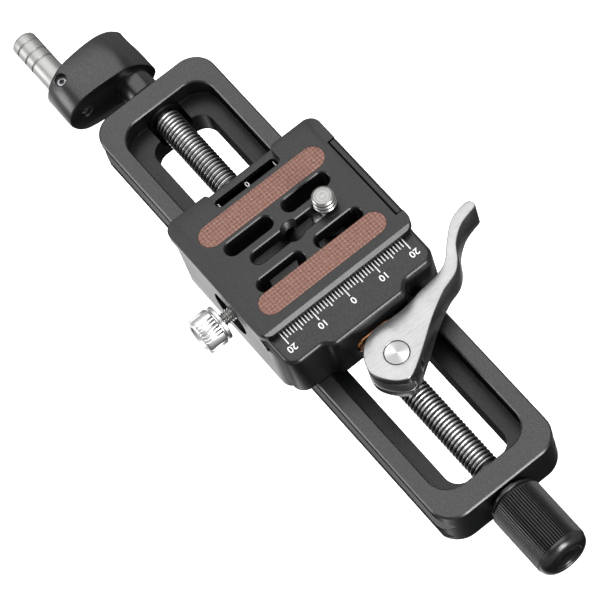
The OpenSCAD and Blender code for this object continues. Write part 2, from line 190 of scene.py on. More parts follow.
def prism(name, outer, h0, h1, holes=(), c0=0.0, c1=0.0, steps=1, place=XY):
    """An extrusion with holes. c0 and c1 cut its two ends' edges: a chamfer with steps 1, a round with more."""
    loops = [clean(outer)] + [clean(h) for h in holes]
    for i, lp in enumerate(loops):
        if (signed_area(lp) > 0) != (i == 0):
            lp.reverse()
    rings = []
    if c0 > 0:
        for k in range(steps):
            g = math.pi / 2 * k / steps
            rings.append((c0 * (1 - math.sin(g)), h0 + c0 * (1 - math.cos(g))))
        rings.append((0.0, h0 + c0))
    else:
        rings.append((0.0, h0))
    if c1 > 0:
        rings.append((0.0, h1 - c1))
        for k in range(1, steps + 1):
            g = math.pi / 2 * k / steps
            rings.append((c1 * (1 - math.cos(g)), h1 - c1 * (1 - math.sin(g))))
    else:
        rings.append((0.0, h1))
    verts, faces, ends = [], [], []
    for j, (d, h) in enumerate(rings):
        layer = []
        for lp in loops:
            start = len(verts)
            verts += [place(u, v, h) for u, v in inset(lp, d)]
            layer.append((start, len(lp)))
        ends.append(layer)
        if j:
            for (s0, n), (s1, _) in zip(ends[j - 1], layer):
                for i in range(n):
                    k = (i + 1) % n
                    faces.append((s0 + i, s0 + k, s1 + k, s1 + i))
    for j in (0, -1):
        flat = [[Vector((u, v, 0)) for u, v in inset(lp, rings[j][0])] for lp in loops]
        index = [s + i for s, n in ends[j] for i in range(n)]
        faces += [tuple(index[i] for i in t) for t in tessellate_polygon(flat)]
    return make(name, verts, faces)


def box(name, x0, y0, z0, x1, y1, z1):
    return prism(name, [(x0, y0), (x1, y0), (x1, y1), (x0, y1)], z0, z1)


def lathe(name, profile, axis="x", centre=(0.0, 0.0), n=64, wave=None):
    """profile: (place along the axis, radius) from end to end. wave(angle, place, radius) may change the radius."""
    verts, faces = [], []
    for a, r in profile:
        for i in range(n):
            t = 2 * math.pi * i / n
            q = wave(t, a, r) if wave else r
            u, v = centre[0] + q * math.cos(t), centre[1] + q * math.sin(t)
            verts.append(
                {"x": (a, u, v), "y": (u, a, v), "z": (u, v, a)}[axis]
            )
    m = len(profile)
    for j in range(m - 1):
        for i in range(n):
            k = (i + 1) % n
            faces.append((j * n + i, j * n + k, (j + 1) * n + k, (j + 1) * n + i))
    if profile[0] != profile[-1]:
        faces.append(tuple(range(n)))
        faces.append(tuple((m - 1) * n + i for i in range(n)))
    else:
        pass
    return make(name, verts, faces)


def thread(name, x0, x1, r_out, r_in, pitch, axis="x", centre=(0.0, 0.0), n=60, end=0.8):
    """A helical thread between two stations, with its ends tapered to the root."""
    shape = [(0.0, 0.0), (0.08, 0.03), (0.18, 0.26), (0.30, 0.70), (0.40, 0.93), (0.50, 1.0), (0.60, 0.93), (0.70, 0.70), (0.82, 0.26), (0.92, 0.03)]
    k = len(shape)
    turns = int((x1 - x0) / pitch) + 2
    verts, faces = [], []
    for j in range(n):
        t = j / n
        for i in range(turns):
            for f, g in shape:
                x = x0 - pitch + (i + f + t) * pitch
                x = min(max(x, x0), x1)
                r = r_in + (r_out - r_in) * g
                lim = r_in + (r_out - r_in) * min(1.0, min(x - x0, x1 - x) / end)
                r = min(r, lim)
                u, v = centre[0] + r * math.cos(2 * math.pi * t), centre[1] + r * math.sin(2 * math.pi * t)
                verts.append({"x": (x, u, v), "y": (u, x, v), "z": (u, v, x)}[axis])
    m = turns * k
    for j in range(n):
        j2 = (j + 1) % n
        shift = k if j == n - 1 else 0
        for i in range(m - 1):
            a, b = i, i + 1
            c, d = b + (0 if j < n - 1 else -shift + 0), a
            if j < n - 1:
                faces.append((j * m + a, j * m + b, j2 * m + b, j2 * m + a))
            else:
                if b + shift < m:
                    faces.append((j * m + a, j * m + b, j2 * m + b + shift, j2 * m + a + shift))
    # ends: everything clamped to one station merges to one ring, which is capped here
    o = make(name, verts, faces)
    bm = bmesh.new()
    bm.from_mesh(o.data)
    bmesh.ops.holes_fill(bm, edges=[e for e in bm.edges if e.is_boundary], sides=0)
    bmesh.ops.recalc_face_normals(bm, faces=bm.faces)
    bm.to_mesh(o.data)
    bm.free()
    return o


def bake(o):
    dg = bpy.context.evaluated_depsgraph_get()
    me = bpy.data.meshes.new_from_object(o.evaluated_get(dg))
    o.modifiers.clear()
    old, o.data = o.data, me
    bpy.data.meshes.remove(old)
    return o


def boolean(a, b, op="DIFFERENCE"):
    m = a.modifiers.new("b", "BOOLEAN")
    m.operation, m.object, m.solver = op, b, "EXACT"
    bake(a)
    me = b.data
    bpy.data.objects.remove(b)
    bpy.data.meshes.remove(me)
    return a


def cut(a, *tools):
    for t in tools:
        boolean(a, t)
    return a


def fuse(a, *others):
    for t in others:
        boolean(a, t, "UNION")
    return a


def join(name, *objs):
    """One object out of several, with no boolean."""
    bm = bmesh.new()
    for o in objs:
        bm.from_mesh(o.data)
        me = o.data
        bpy.data.objects.remove(o)
        bpy.data.meshes.remove(me)
    me = bpy.data.meshes.new(name)
    bm.to_mesh(me)
    bm.free()
    return link(bpy.data.objects.new(name, me))


def moved(o, m):
    o.data.transform(m)
    return o


def soften(o, width, segments=2, angle=40):
    m = o.modifiers.new("soft", "BEVEL")
    m.width, m.segments, m.limit_method = width, segments, "ANGLE"
    m.angle_limit = math.radians(angle)
    m.use_clamp_overlap = True
    m.miter_outer = "MITER_ARC"
    return bake(o)


def place(o, name, body, material, slot=None, nodes=(), angle=32):
    o.name = name
    o.data.name = name
    o.data.transform(Matrix.Scale(0.001, 4))
    o.data.shade_smooth()
    o.data.set_sharp_from_angle(angle=math.radians(angle))
    o.data.materials.clear()
    o.data.materials.append(material)
    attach(o, body)
    if nodes:
        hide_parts(*nodes)
    return o


# ------------------------------------------------------------------ materials


class Graph:
    def __init__(self, name):
        self.m = bpy.data.materials.new(name)
        self.m.use_nodes = True
        self.t = self.m.node_tree
        self.t.nodes.clear()
        self.out = self.t.nodes.new("ShaderNodeOutputMaterial")
        self.b = self.t.nodes.new("ShaderNodeBsdfPrincipled")
        self.t.links.new(self.b.outputs[0], self.out.inputs[0])
        self.coord = self.t.nodes.new("ShaderNodeTexCoord").outputs["Object"]

    def set(self, **kw):
        for k, v in kw.items():
            s = self.b.inputs[k.replace("_", " ")]
            if hasattr(v, "is_linked") or hasattr(v, "links"):
                self.t.links.new(v, s)
            else:
                s.default_value = v
        return self

    def node(self, kind, inputs=None, **props):
        n = self.t.nodes.new(kind)
        for k, v in props.items():
            setattr(n, k, v)
        for k, v in (inputs or {}).items():
            s = n.inputs[k]
            if hasattr(v, "links"):
                self.t.links.new(v, s)
            else:
                s.default_value = v
        return n

    def scaled(self, x, y, z):
        return self.node(
            "ShaderNodeMapping", {"Vector": self.coord, "Scale": (x, y, z)}
        ).outputs[0]

    def noise(self, scale, detail=2.0, vector=None, rough=0.5):
        return self.node(
            "ShaderNodeTexNoise",
            {
                "Vector": vector if vector is not None else self.coord,
                "Scale": scale,
                "Detail": detail,
                "Roughness": rough,
            },
        ).outputs["Fac"]

    def ramp(self, fac, stops):
        n = self.node("ShaderNodeValToRGB", {"Fac": fac})
        el = n.color_ramp.elements
        while len(el) > 1:
            el.remove(el[-1])
        el[0].position, el[0].color = stops[0][0], (*stops[0][1], 1)
        for p, c in stops[1:]:
            e = el.new(p)
            e.color = (*c, 1)
        return n.outputs[0]

    def span(self, fac, lo, hi, a=0.0, b=1.0):
        return self.node(
            "ShaderNodeMapRange",
            {"Value": fac, "From Min": a, "From Max": b, "To Min": lo, "To Max": hi},
        ).outputs[0]

    def math(self, op, a, b=0.0):
        return self.node("ShaderNodeMath", {0: a, 1: b}, operation=op).outputs[0]

    def wedge(self, vector):
        """Two opposed soft wedges about the z axis, 0 to 1, used as a painted highlight."""
        sep = self.node("ShaderNodeSeparateXYZ", {0: vector})
        turn = self.math("ARCTAN2", sep.outputs[1], sep.outputs[0])
        c = self.math("ABSOLUTE", self.math("COSINE", self.math("SUBTRACT", turn, 0.5)))
        return self.math("POWER", c, 5.0)

    def finish(self, height=None, strength=0.1, distance=0.0001, edge=0.0):
        """Bump over rounded edges. edge is the rounding's radius in metres."""
        normal = None
        if edge > 0:
            normal = self.node("ShaderNodeBevel", {"Radius": edge}, samples=6).outputs[0]
        if height is not None:
            n = self.node(
                "ShaderNodeBump",
                {"Strength": strength, "Distance": distance, "Height": height},
            )
            if normal is not None:
                self.t.links.new(normal, n.inputs["Normal"])
            normal = n.outputs[0]
        if normal is not None:
            self.t.links.new(normal, self.b.inputs["Normal"])
        return self.m


def anodised(name, tone, rough=0.42, spec=0.5, grain=0.06, edge=0.00022, speckle=0.16, y_face_shade=1.0, recess_shade=None):
    """Bead-blasted black anodising, with painted shade in its sheen. y_face_shade below 1 gives the faces that look
    along y less sheen, as painted shade, and recess_shade = (z0, z1, factor) paints shade the same way on what lies
    low inside the part."""
    g = Graph(name)
    fine = g.noise(5200.0, 3.0)
    dots = g.noise(2300.0, 2.0)
    wide = g.noise(55.0, 3.0)
    mixed = g.math("ADD", g.math("MULTIPLY", fine, 0.7), g.math("MULTIPLY", wide, 0.3))
    lo = tuple(c * 0.75 for c in tone)
    hi = tuple(c * 1.25 for c in tone)
    sheen = g.span(dots, spec * (1 - speckle), spec * (1 + speckle), 0.32, 0.68)
    rough_out = g.span(wide, rough - 0.04, rough + 0.04, 0.3, 0.7)
    # painted shade: what lies low inside the part loses sheen, standing in for the shade deep in the windows
    if recess_shade:
        z = g.node("ShaderNodeSeparateXYZ", {0: g.coord}).outputs[2]
        sheen = g.math("MULTIPLY", sheen, g.span(z, recess_shade[2], 1.0, recess_shade[0], recess_shade[1]))
    # painted shade: the faces that look along y lose sheen and get rougher, standing in for the shade on the part's
    # sides
    if y_face_shade < 1.0:
        face = g.node("ShaderNodeSeparateXYZ", {0: g.node("ShaderNodeTexCoord").outputs["Normal"]})
        side = g.span(g.math("ABSOLUTE", face.outputs[1]), 0.0, 1.0, 0.80, 0.97)
        sheen = g.math("MULTIPLY", sheen, g.math("SUBTRACT", 1.0, g.math("MULTIPLY", side, 1 - y_face_shade)))
        rough_out = g.math("ADD", rough_out, g.math("MULTIPLY", side, 0.5 * (1 - y_face_shade)))
    g.set(
        Base_Color=g.ramp(mixed, [(0.3, lo), (0.7, hi)]),
        Roughness=rough_out,
        Metallic=0.0,
        IOR=1.5,
        Specular_IOR_Level=sheen,
    )
    return g.finish(fine, grain, 0.00004, edge)


def metal(name, tone, rough=0.3, grain=0.05, edge=0.00015, stretch=(1, 1, 1), scale=2500.0, aniso=0.0, spread=0.12):
    g = Graph(name)
    v = g.scaled(*stretch)
    fine = g.noise(scale, 3.0, v)
    wide = g.noise(120.0, 3.0)
    g.set(
        Base_Color=g.ramp(
            fine, [(0.3, tuple(c * (1 - spread) for c in tone)), (0.7, tuple(min(1, c * (1 + spread * 0.5)) for c in tone))]
        ),
        Roughness=g.span(wide, rough - 0.05, rough + 0.05, 0.3, 0.7),
        Metallic=1.0,
        Anisotropic=aniso,
    )
    return g.finish(fine, grain, 0.00003, edge)


BLACK = anodised("black_anodised", (0.0024, 0.0025, 0.0027), rough=0.34, spec=0.41, grain=0.2)
# the rail's anodising carries painted shade: less sheen low inside its windows and on the faces that look along y
BLACK_RAIL = anodised("rail_anodised_painted_shade", (0.0026, 0.0028, 0.0030), rough=0.34, spec=0.56, grain=0.2, y_face_shade=0.05, recess_shade=(0.0080, 0.0136, 0.52))
# the jaw's anodising carries painted shade: less sheen on the faces that look along y
BLACK_JAW = anodised("jaw_anodised_painted_shade", (0.0024, 0.0025, 0.0027), rough=0.32, spec=0.41, grain=0.2, y_face_shade=0.4)
BLACK_TOP = anodised("plate_anodised", (0.0024, 0.0025, 0.0027), rough=0.34, spec=0.385, grain=0.16, speckle=0.10)
BLACK_KNOB = anodised("knob_anodised", (0.0018, 0.0019, 0.0020), rough=0.30, spec=0.62, grain=0.05, edge=0.00005)
BLACK_ARM = anodised("arm_anodised", (0.0022, 0.0023, 0.0024), rough=0.30, spec=0.58, grain=0.14)
POCKET_FLOOR_BLACK = anodised("index_pocket", (0.001, 0.001, 0.001), rough=0.3, spec=0.3)
STEEL = metal("stainless_turned", (0.46, 0.46, 0.47), 0.26)


def threaded(name, tone, rough, cz, r0, r1):
    """Rolled thread along x, with painted light in its colour: a painted highlight on the crests and painted shade in
    the roots.
    """
    g = Graph(name)
    sep = g.node("ShaderNodeSeparateXYZ", {0: g.coord})
    y, z = sep.outputs[1], g.math("SUBTRACT", sep.outputs[2], cz)
    r = g.math("SQRT", g.math("ADD", g.math("MULTIPLY", y, y), g.math("MULTIPLY", z, z)))
    fine = g.noise(4000.0, 2.0)
    # painted light: the base colour runs from dark at the root radius to bright at the crest radius, as painted shade
    # in the roots and a painted highlight on the crests
    crest_highlight_root_shade = g.math("ADD", g.span(r, 0.0, 1.0, r0, r1), g.span(fine, -0.06, 0.06, 0.3, 0.7))
    g.set(
        Base_Color=g.ramp(crest_highlight_root_shade, [(0.10, tuple(c * 0.10 for c in tone)), (0.55, tuple(c * 0.6 for c in tone)), (0.9, tone)]),
        Roughness=g.span(fine, rough - 0.03, rough + 0.03, 0.3, 0.7),
        Metallic=1.0,
    )
    return g.finish(fine, 0.03, 0.00002)


STEEL_THREAD = threaded("stainless_thread", (0.62, 0.62, 0.63), 0.34, 0.007, 0.00335, 0.00392)
STEEL_DARK = metal("fastener_steel", (0.26, 0.26, 0.27), 0.30)
SILVER = metal("satin_silver", (0.29, 0.288, 0.284), 0.34, scale=5200.0)
THUMB = metal("polished_thumbscrew", (0.62, 0.62, 0.615), 0.33, grain=0.04, scale=5200.0)
SATIN = metal("satin_handle", (0.33, 0.328, 0.324), 0.46, grain=0.14, scale=5200.0)
BRONZE = metal("bronze", (0.42, 0.29, 0.14), 0.34)
COPPER = metal("copper", (0.46, 0.21, 0.10), 0.25)
LEVER = metal("brushed_lever", (0.32, 0.32, 0.32), 0.33, grain=0.2, stretch=(14.0, 1.0, 1.0), scale=520.0, edge=0.0003, spread=0.17)


def paint():
    g = Graph("white_marking")
    n = g.noise(6000.0, 2.0)
    g.set(
        Base_Color=g.ramp(n, [(0.3, (0.60, 0.60, 0.60)), (0.7, (0.72, 0.72, 0.72))]),
        Roughness=g.span(n, 0.45, 0.6, 0.3, 0.7),
    )
    return g.finish(n, 0.05, 0.00002)


PAINT = paint()


WEAVE = 1.06


def woven():
    """Basket weave of the friction strips: two crossed sets of threads."""
    g = Graph("woven_friction")
    wobble = g.node("ShaderNodeTexNoise", {"Vector": g.coord, "Scale": 900.0, "Detail": 2.0}).outputs["Color"]
    shift = g.node("ShaderNodeVectorMath", {0: wobble, 1: (0.00042, 0.00042, 0.0)}, operation="MULTIPLY").outputs[0]
    moved = g.node("ShaderNodeVectorMath", {0: g.coord, 1: shift}, operation="ADD").outputs[0]
    sep = g.node("ShaderNodeSeparateXYZ", {0: moved})
    k = math.pi / (WEAVE * 0.001)
    sx = g.math("SINE", g.math("MULTIPLY", g.math("ADD", sep.outputs[0], sep.outputs[1]), k))
    sy = g.math("SINE", g.math("MULTIPLY", g.math("SUBTRACT", sep.outputs[0], sep.outputs[1]), k))
    prod = g.math("MULTIPLY", sx, sy)
    n1, n2 = g.noise(2600.0, 3.0), g.noise(700.0, 2.0)
    f = g.math("ADD", g.math("MULTIPLY", prod, 0.17), g.math("ADD", g.math("MULTIPLY", n1, 0.80), g.math("MULTIPLY", n2, 0.14)))
    g.set(
        Base_Color=g.ramp(
            f,
            [
                (0.12, (0.075, 0.031, 0.023)),
                (0.38, (0.142, 0.068, 0.053)),
                (0.62, (0.208, 0.112, 0.089)),
                (0.86, (0.360, 0.230, 0.190)),
            ],
        ),
        Roughness=0.78,
        Specular_IOR_Level=0.3,
    )
    return g.finish(f, 0.5, 0.00012)


WOVEN = woven()


def turned(name, tone, rough, cx, cy, aniso=0.75):
    """Face-turned end of a pin: rings about its own axis, with two opposed painted highlight wedges in its colour."""
    g = Graph(name)
    m = g.node("ShaderNodeMapping", {"Vector": g.coord, "Location": (-cx, -cy, 0.0)})
    ln = g.node("ShaderNodeVectorMath", {0: g.node("ShaderNodeVectorMath", {0: m.outputs[0], 1: (1.0, 1.0, 0.0)}, operation="MULTIPLY").outputs[0]}, operation="LENGTH")
    rings = g.noise(1.0, 2.0, g.node("ShaderNodeCombineXYZ", {0: g.math("MULTIPLY", ln.outputs["Value"], 9000.0)}).outputs[0])
    tan = g.node("ShaderNodeVectorMath", {0: m.outputs[0], 1: (0.0, 0.0, 1.0)}, operation="CROSS_PRODUCT")
    g.set(
        # painted highlight: the base colour is brighter in two opposed wedges about the pin's axis
        Base_Color=g.node("ShaderNodeMix", {0: g.wedge(m.outputs[0]), 6: (*(c * 0.72 for c in tone), 1), 7: (*(c * 1.5 for c in tone), 1)}, data_type="RGBA").outputs[2],
        Roughness=g.span(rings, rough - 0.05, rough + 0.05, 0.3, 0.7),
        Metallic=1.0,
        Anisotropic=aniso,
        Tangent=g.node("ShaderNodeVectorMath", {0: tan.outputs[0]}, operation="NORMALIZE").outputs[0],
    )
    return g.finish(rings, 0.06, 0.00002, 0.0001)


PIN_FACE = turned("turned_pin", (0.33, 0.33, 0.33), 0.24, 0.0367, 0.0)

# ------------------------------------------------------------------ dimensions (mm)

HALF, REAR = 78.4, -79.2
AXIS = 7.0
WIN0, WIN1, LOW0, LOW1 = -72.3, 71.3, -66.3, 68.9
DOVE = -5.5
MID = -5.2
PIN = 36.7

# ------------------------------------------------------------------ rail


def rail():
    half = [
        (18.3, 0), (18.7, 0.4), (18.7, 1.2), (17.0, 2.1), (17.0, 2.6), (19.0, 4.3), (19.0, 5.4),
        (16.2, 8.2), (16.2, 8.8), (19.0, 11.6), (19.0, 14.0),
    ]
    prof = half + [(-y, z) for y, z in reversed(half)]
    o = prism("rail", prof, REAR, HALF, place=ALONG_X)
    boolean(o, prism("t", rrect(REAR, -19.0, HALF, 19.0, 7.0, 20), 0, 14.0, c0=0.4, c1=0.45), "INTERSECT")
    top = prism("t", inset(rrect(WIN0, -14.3, WIN1, 14.3, 6.5, 14), 0), 7.7, 15.0)
    low = prism("t", rrect(LOW0, -9.5, LOW1, 9.5, 4.5, 14), -1.0, 14.0)
    cut(o, top, low)
    for a, b, r in ((REAR - 1, HALF + 1, 4.5), (WIN0, LOW0 + 1, 5.4), (LOW1 - 1, WIN1, 5.4)):
        cut(o, lathe("t", [(a, r), (b, r)], "x", (0, AXIS)))
    # fine bevel round the window's top edge
    lip = prism("t", inset(rrect(WIN0, -14.3, WIN1, 14.3, 6.5, 14), -0.4), 13.6, 14.3, c0=0.4)
    cut(o, lip)
    return place(o, "rail_frame_skin", "rail", BLACK_RAIL, "rail_black", ["rail_frame"])


rail()

place(
    thread("t", WIN0 + 1.3, WIN1 - 1.3, 4.0, 3.3, 1.25, "x", (0, AXIS)),
    "lead_screw_thread", "screw_drive", STEEL_THREAD, "stainless", angle=50,
)
place(
    join(
        "t",
        lathe("t", [(-96.5, 2.6), (-96.1, 3.0), (WIN0 + 1.6, 3.0)], "x", (0, AXIS)),
        lathe("t", [(WIN1 - 1.6, 3.0), (95.7, 3.0), (96.1, 2.6)], "x", (0, AXIS)),
    ),
    "lead_screw_journals", "screw_drive", STEEL, "stainless", ["lead_screw"],
)

# ------------------------------------------------------------------ knob


def knob():
    x0, x1 = 80.6, 102.1
    flutes = 64

    def wave(t, a, r):
        if r < 7.3:
            return r
        f = (t * flutes / (2 * math.pi)) % 1.0
        return r - 0.52 * max(0.0, 1 - abs(f - 0.5) / 0.38)

    prof = [
        (x0, 3.05), (x0, 6.6), (x0 + 0.15, 6.8), (x0 + 0.45, 6.95), (x0 + 0.75, 7.35), (x0 + 0.9, 7.5), (x1 - 2.7, 7.5), (x1 - 2.6, 7.45),
        (x1 - 2.5, 7.28), (x1 - 2.0, 7.22), (x1 - 1.5, 7.05), (x1 - 1.0, 6.75), (x1 - 0.55, 6.3), (x1 - 0.22, 5.75), (x1 - 0.05, 5.2), (x1, 4.75),
        (x1 - 0.08, 4.45), (x1 - 0.3, 4.25), (x1 - 0.6, 4.2), (x1 - 0.6, 3.85), (x1 - 0.45, 3.65), (x1 - 0.62, 3.5), (x1 - 5.0, 3.5), (x1 - 5.0, 3.05), (x0, 3.05),
    ]
    o = lathe("t", prof, "x", (0, AXIS), n=flutes * 8, wave=wave)
    place(o, "drive_knob_skin", "screw_drive", BLACK_KNOB, "knob_black", ["drive_knob"], angle=20)
    cap = lathe(
        "t",
        [(x1 - 1.9, 3.45), (x1 - 0.65, 3.45), (x1 - 0.5, 3.2), (x1 - 0.62, 2.8), (x1 - 1.0, 1.7), (x1 - 1.12, 0.7), (x1 - 1.13, 0.02)],
        "x", (0, AXIS), n=64,
    )
    place(cap, "knob_end_cap_skin", "screw_drive", BLACK_KNOB, "knob_black", ["knob_end_cap"])


knob()
place(
    lathe("t", [(78.7, 3.04), (78.7, 5.5), (78.9, 5.7), (79.35, 5.7), (79.45, 6.45), (79.7, 6.7), (80.15, 6.7), (80.38, 6.5), (80.38, 3.04), (78.7, 3.04)], "x", (0, AXIS)),
    "knob_collar_skin", "screw_drive", BLACK_KNOB, "rail_black", ["knob_collar"],
)

# ------------------------------------------------------------------ crank

CRANK = Matrix.Translation((0, 0, AXIS)) @ Matrix.Rotation(math.radians(-9.3), 4, "X")
ARM0, ARM1, HY, SEAT, SETX = -101.5, -86.9, -15.6, -98.2, -96.4
ARM_SIDE = [
    (7.9, -1.6), (7.2, 1.2), (5.9, 3.4), (4.1, 5.3), (2.1, 6.8), (-0.3, 7.8), (-3.2, 8.3), (-7, 8.3), (-10.7, 8.05), (-13.8, 7.55),
    (-17.1, 6.15), (-19.7, 3.6), (-20.95, 0.4), (-20.9, -2.2), (-19.9, -4.3), (-18.4, -6.2), (-16, -7.75), (-12.2, -8.35), (-8, -8.35),
    (-4, -8.2), (0, -7.9), (3.4, -6.9), (6.2, -4.7),
]
ARM_PLAN = [
    (ARM1 + 1, -24), (ARM1 + 1, 12), (-91.4, 12), (-91.5, 7.9), (-93, 7.5), (-94.6, 6.95), (-96.2, 6.4), (-97.6, 6.15), (-99.4, 6.1),
    (ARM0, 6.2), (ARM0, 3), (-101.2, -2), (-100.8, -6), (-100.3, -9.8), (-99.8, -13.4), (-99.2, -16.5), (-98.5, -19.3), (-97.8, -21.5), (-97.1, -24),
]


def crank():
    o = prism("t", smooth(ARM_SIDE, 3), ARM0 - 1, ARM1, c1=0.6, steps=2, place=ALONG_X)
    boolean(o, prism("t", ARM_PLAN, -10, 10), "INTERSECT")
    soften(o, 0.35, 2, 55)
    fuse(o, lathe("t", [(ARM1 - 1, 5.1), (-80.8, 5.1), (-80.5, 5.0), (-79.9, 4.5), (-79.8, 4.3)], "x", (0, 0)))
    cut(
        o,
        lathe("t", [(ARM0 + 4.8, 3.02), (-78, 3.02)], "x", (0, 0)),
        lathe("t", [(ARM0 - 1, 4.0), (SEAT, 4.0)], "x", (HY, 0)),
        lathe("t", [(SEAT - 1, 1.82), (ARM1 + 1, 1.82)], "x", (HY, 0), n=48),
        lathe("t", [(ARM1 - 0.3, 1.82), (ARM1 + 0.3, 2.42)], "x", (HY, 0), n=48),
        lathe("t", [(-10, 1.5), (-2.95, 1.5)], "z", (-93.2, 0), n=32),
    )
    on_handle = Matrix.Translation((0, HY, 0)) @ Matrix.Rotation(math.radians(12.6), 4, "X")
    cut(
        o,
        moved(lathe("t", [(0, 1.5), (6, 1.5)], "z", (SETX, 0), n=48), on_handle),
        moved(lathe("t", [(5.0, 1.8), (9, 1.8)], "z", (SETX, 0), n=48), on_handle),
    )
    moved(o, CRANK)
    place(o, "crank_arm_skin", "screw_drive", BLACK_ARM, "rail_black", ["crank_arm"])

    # set screws with hex sockets
    def setscrew(h):
        s = prism("t", circle(0, 0, 1.48, 32), 0, h, c1=0.2)
        return cut(s, prism("t", circle(0, 0, 0.85, 6), h - 1.4, h + 1))

    top = moved(setscrew(3.2), on_handle @ Matrix.Translation((SETX, 0, 1.85)))
    low = moved(setscrew(3.6), Matrix.Translation((-93.2, 0, -3.05)) @ Matrix.Rotation(math.pi, 4, "X"))
    s = moved(join("t", top, low), CRANK)
    place(s, "crank_set_screws_skin", "screw_drive", STEEL_DARK, "fastener_steel", ["crank_set_screws"])
    # axle with its socket end
    x1 = SEAT - 0.2
    x0 = x1 - 19.4
    a = lathe(
        "t",
        [(x0 + 1.8, 2.5), (x0 + 2.0, 2.7), (x0 + 3.05, 2.7), (x0 + 3.05, 1.8), (ARM1 - 1.15, 1.8), (ARM1 - 0.95, 1.6)],
        "x", (HY, 0), n=48,
    )
    cut(a, prism("t", [(HY + 1.15 * math.cos(math.radians(g)), 1.15 * math.sin(math.radians(g))) for g in range(0, 360, 60)], ARM1 - 2.6, ARM1 + 1, place=ALONG_X))
    moved(a, CRANK)
    place(a, "handle_axle_skin", "screw_drive", STEEL, "fastener_steel", ["handle_axle"])
    # handle with three finger grooves
    r = 3.75
    p = [(x0 + 3.3, 1.87), (x0 + 3.3, 2.9), (x0 + 0.05, 2.9), (x0, 3.1), (x0 + 0.12, 3.4), (x0 + 0.4, 3.66), (x0 + 0.8, r)]
    for g in (3.2, 6.9, 10.1):
        c = x0 + g
        p += [(c - 0.36, r), (c - 0.24, r - 0.22), (c, r - 0.34), (c + 0.24, r - 0.22), (c + 0.36, r)]
    p += [(x1 - 0.3, r), (x1, r - 0.3), (x1, 1.87), (x0 + 3.3, 1.87)]
    h = moved(lathe("t", p, "x", (HY, 0), n=72), CRANK)
    place(h, "crank_handle_skin", "handle", SATIN, "handle_silver", ["crank_handle"])
    c = lathe("t", [(x0 + 1.15, 2.85), (x0 + 0.3, 2.85), (x0 + 0.1, 2.6), (x0 + 0.02, 1.5), (x0 + 0.02, 0.02)], "x", (HY, 0))
    moved(c, CRANK)
    place(c, "handle_cap_skin", "handle", SATIN, "handle_silver", ["handle_cap"])


crank()

# ------------------------------------------------------------------ carriage


def mirror_cut(outline):
    return [(-u, v) for u, v in reversed(outline)]


def carriage():
    X0, X1 = -30.1, 16.6
    prof = [
        (16.5, 8.35), (19.35, 5.5), (23.4, 5.5), (24.0, 6.1), (24.0, 24.5), (-24.0, 24.5), (-24.0, 6.1), (-23.4, 5.5),
        (-19.35, 5.5), (-16.5, 8.35), (-16.5, 8.65), (-19.35, 11.5), (-19.35, 14.3), (19.35, 14.3), (19.35, 11.5), (16.5, 8.65),
    ]
    o = prism("t", prof, X0, X1, place=ALONG_X)
    jaw = [(X0, 23.5), (X0, 31.0), (DOVE - 16.05, 31.0), (DOVE - 16.05, 30.1), (DOVE - 19.2, 26.95), (DOVE - 19.2, 23.5)]
    fuse(o, prism("t", jaw, -24.0, 24.0, place=ALONG_Y))
    boolean(o, prism("t", rrect(X0, -24.0, X1, 24.0, 3.5, 12), 0, 31.0, c1=0.3, steps=2), "INTERSECT")
    fuse(o, prism("t", rrect(-25, -13.6, 14, 13.6, 4.0, 12), 12.5, 15.0))
    cut(
        o,
        lathe("t", [(X0 - 1, 2.65), (X1 + 1, 2.65)], "x", (0, 21.0)),
        lathe("t", [(X0 - 1, 4.4), (X0 + 4, 4.4)], "x", (0, 21.0)),
    )
    for y in (-16, 16):
        cut(o, lathe("t", [(-4, 2.04), (X1 + 1, 2.04)], "x", (y, 19.6)))
        cut(o, lathe("t", [(10.4, 3.5), (X1 + 1, 3.5)], "x", (y, 19.6)))
    cut(o, prism("t", rrect(-27.8, -10.2, -15, 10.2, 1.5, 8), 29.9, 32.0))
    cut(
        o,
        lathe("t", [(-25, 2.02), (-21, 2.02)], "y", (-6.1, 17.0)),
        lathe("t", [(-25, 6.7), (-22.4, 6.7)], "y", (-6.1, 17.0)),
        box("t", -8.65, -21.3, 11.8, -3.55, -18.9, 19.05),
    )
    place(o, "carriage_body_skin", "carriage", BLACK, "clamp_black", ["carriage_body"])


carriage()


def digit_mesh(text, size, x, y, z, name="t"):
    cu = bpy.data.curves.new(name, "FONT")
    cu.body, cu.size, cu.extrude = text, size, 0.012
    cu.align_x, cu.align_y = "CENTER", "CENTER"
    cu.offset = 0.03
    o = link(bpy.data.objects.new(name, cu))
    dg = bpy.context.evaluated_depsgraph_get()
    me = bpy.data.meshes.new_from_object(o.evaluated_get(dg))
    bpy.data.objects.remove(o)
    me.transform(Matrix.Translation((x, y, z)) @ Matrix.Rotation(math.radians(-90), 4, "Z"))
    return link(bpy.data.objects.new(name, me))


def index_marks():
    bits = [digit_mesh("0", 2.3, -26.75, 0.2, 29.92)]
    for y in (-9.1, 9.3):
        bits.append(box("t", -27.3, y - 0.14, 29.85, -25.9, y + 0.14, 29.93))
    place(join("t", *bits), "carriage_index_marks", "carriage", PAINT, "clamp_black")
    # a near-black sheet with less sheen on the index pocket's floor, so the pocket reads darker than the anodising
    # around it
    place(
        prism("t", rrect(-27.75, -10.15, -21.6, 10.15, 1.45, 8), 29.85, 29.9),
        "carriage_index_pocket_floor", "carriage", POCKET_FLOOR_BLACK, "clamp_black",
    )


index_marks()


